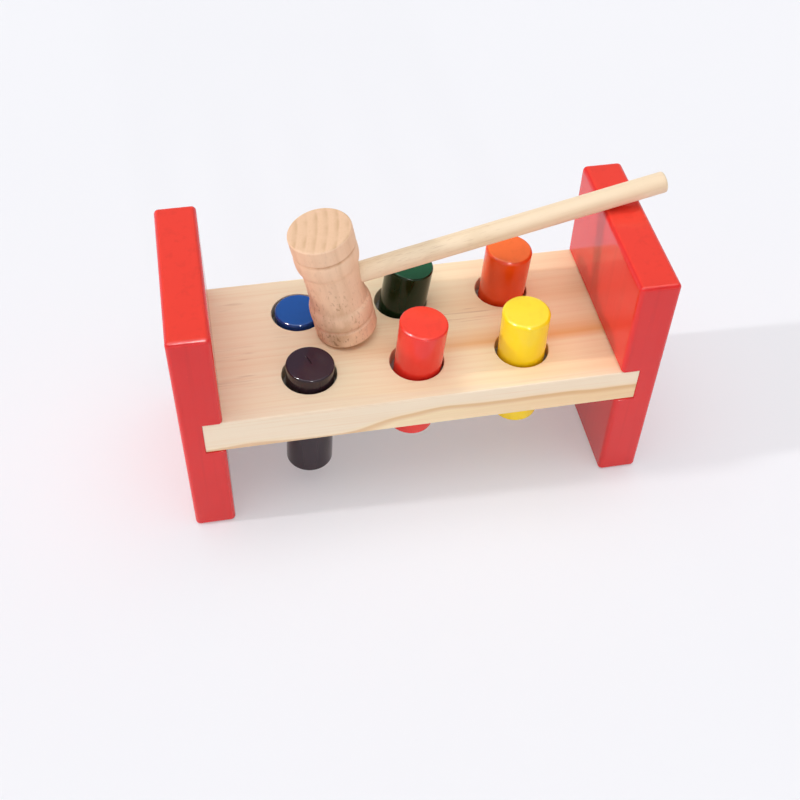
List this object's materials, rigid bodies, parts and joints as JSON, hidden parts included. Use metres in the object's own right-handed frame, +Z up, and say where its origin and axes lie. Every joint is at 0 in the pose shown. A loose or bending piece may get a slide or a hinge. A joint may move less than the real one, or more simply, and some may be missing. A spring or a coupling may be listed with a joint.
{
  "type": "peg pounding bench",
  "caption": "Wooden toy bench: painted end panels carry a drilled board with coloured pegs gripped by rubber rings, and a turned mallet lies across it.",
  "frame": {"origin": "on the floor, in the middle between the two feet of the bench", "axes": "+X along the bench to the right as pictured, +Y to its back, +Z up"},
  "size_m": [0.2231, 0.085, 0.1343],
  "materials": {
    "panel_paint": "gloss red paint on wood",
    "pine": "sanded bare pine",
    "dowel_wood": "bare beech",
    "ring_rubber": "matt pale rubber",
    "blue_paint": "gloss blue paint on wood",
    "green_paint": "gloss green paint on wood",
    "orange_paint": "gloss orange paint on wood",
    "purple_paint": "gloss purple paint on wood",
    "red_paint": "gloss red paint on wood",
    "yellow_paint": "gloss yellow paint on wood",
    "head_wood": "sanded bare beech",
    "handle_wood": "sanded bare wood"
  },
  "bodies": {
    "bench": {"left_end_panel": "panel_paint", "right_end_panel": "panel_paint", "peg_board": "pine", "left_front_dowel": "dowel_wood", "left_rear_dowel": "dowel_wood", "right_front_dowel": "dowel_wood", "right_rear_dowel": "dowel_wood", "blue_grip_ring": "ring_rubber", "green_grip_ring": "ring_rubber", "orange_grip_ring": "ring_rubber", "purple_grip_ring": "ring_rubber", "red_grip_ring": "ring_rubber", "yellow_grip_ring": "ring_rubber"},
    "blue_peg": {"blue_peg": "blue_paint"},
    "green_peg": {"green_peg": "green_paint"},
    "orange_peg": {"orange_peg": "orange_paint"},
    "purple_peg": {"purple_peg": "purple_paint"},
    "red_peg": {"red_peg": "red_paint"},
    "yellow_peg": {"yellow_peg": "yellow_paint"},
    "mallet": {"mallet_head": "head_wood", "mallet_handle": "handle_wood"}
  },
  "joints": [
    {"name": "blue_peg_slide", "type": "slide", "parent": "bench", "child": "blue_peg", "axis": [0.0065, 0, 1], "range_m": [-0.0016, 0.0025]},
    {"name": "green_peg_slide", "type": "slide", "parent": "bench", "child": "green_peg", "axis": [0.1298, 0, 0.9915], "range_m": [-0.0226, 0.0115]},
    {"name": "orange_peg_slide", "type": "slide", "parent": "bench", "child": "orange_peg", "axis": [0.0572, 0, 0.9984], "range_m": [-0.0253, 0.016]},
    {"name": "purple_peg_slide", "type": "slide", "parent": "bench", "child": "purple_peg", "axis": [0.039, 0, 0.9992], "range_m": [-0.0064, 0.0376]},
    {"name": "red_peg_slide", "type": "slide", "parent": "bench", "child": "red_peg", "axis": [0.078, 0, 0.997], "range_m": [-0.0237, 0.0203]},
    {"name": "yellow_peg_slide", "type": "slide", "parent": "bench", "child": "yellow_peg", "axis": [0.0026, 0, 1], "range_m": [-0.023, 0.021]},
    {"name": "mallet_lift", "type": "slide", "parent": "bench", "child": "mallet", "axis": [0, 0, 1], "range_m": [0, 0.08]}
  ]
}
